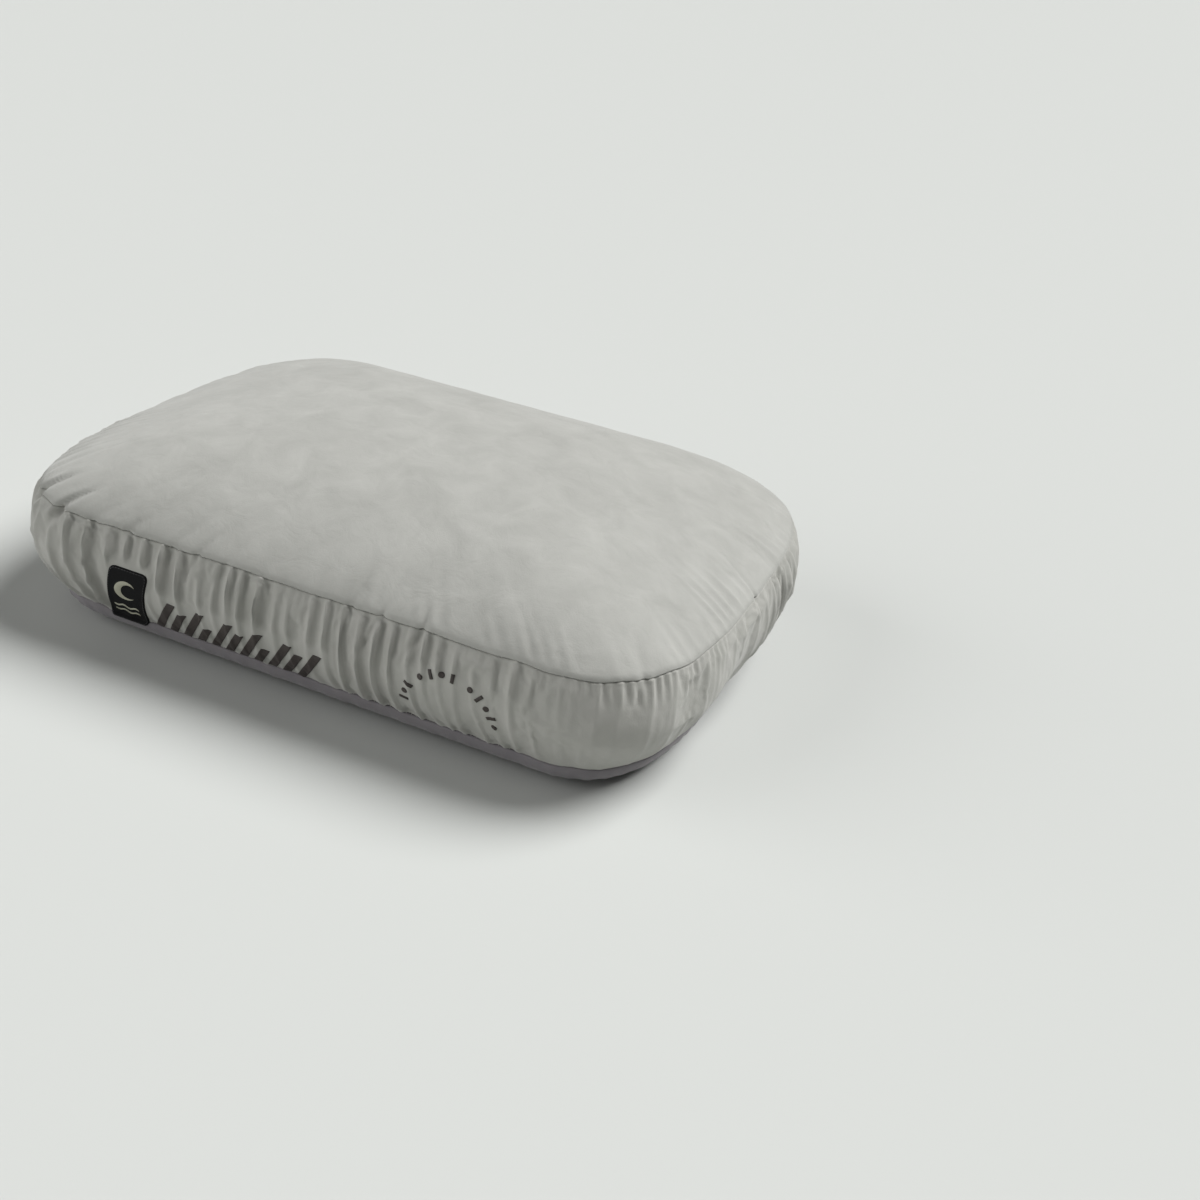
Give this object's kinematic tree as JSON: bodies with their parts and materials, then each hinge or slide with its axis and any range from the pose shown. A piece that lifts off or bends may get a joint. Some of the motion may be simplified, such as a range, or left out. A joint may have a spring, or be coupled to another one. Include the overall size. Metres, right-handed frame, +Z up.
{
  "type": "camp pillow",
  "caption": "Boxed camp pillow with a domed top, gathered side wall and front patch; the foam core sits in a cover that unzips at the back.",
  "frame": {"origin": "on the floor, under the middle of the whole object's box", "axes": "+X along the pillow, +Z up, +Y towards the back with the zip; the patch is on the front, towards -Y"},
  "size_m": [0.4486, 0.3172, 0.1248],
  "materials": {
    "brushed_cover": "brushed matt polyester, light warm grey",
    "plain_underside": "plain matt polyester, mid mauve grey",
    "liner_cloth": "thin undyed knit",
    "memory_foam": "open-cell polyurethane foam, cream",
    "sewing_thread": "spun polyester thread",
    "woven_patch": "close woven, near black with a pale motif",
    "satin_label": "blank satin ribbon",
    "zip_tape": "herringbone woven polyester tape",
    "nylon_coil": "nylon monofilament",
    "painted_zinc": "satin grey paint on die-cast zinc"
  },
  "bodies": {
    "cover": {"foam_core": "memory_foam", "liner_upper": "liner_cloth", "liner_lower": "liner_cloth", "top_panel": "brushed_cover", "bottom_panel": "plain_underside", "front_gusset": "brushed_cover", "zip_strip_upper": "brushed_cover", "zip_strip_lower": "brushed_cover", "zip_tape_upper": "zip_tape", "zip_tape_lower": "zip_tape", "zip_coil_upper": "nylon_coil", "zip_coil_lower": "nylon_coil", "top_stop_upper": "painted_zinc", "top_stop_lower": "painted_zinc", "bottom_stop": "painted_zinc", "label_patch": "woven_patch", "care_label": "satin_label", "top_seam_thread": "sewing_thread", "bottom_seam_thread": "sewing_thread", "back_seam_thread_left": "sewing_thread", "back_seam_thread_right": "sewing_thread"},
    "slider": {"zip_slider": "painted_zinc"},
    "pull": {"zip_pull": "painted_zinc"}
  },
  "joints": [
    {"name": "zip_slide", "type": "slide", "parent": "cover", "child": "slider", "axis": [-1, 0, 0], "range_m": [0, 0.2436]},
    {"name": "pull_swing", "type": "hinge", "parent": "slider", "child": "pull", "pos_m": [0.1218, 0.15623, 0.05484], "axis": [0, 0, -1], "range_deg": [0, 180]}
  ]
}
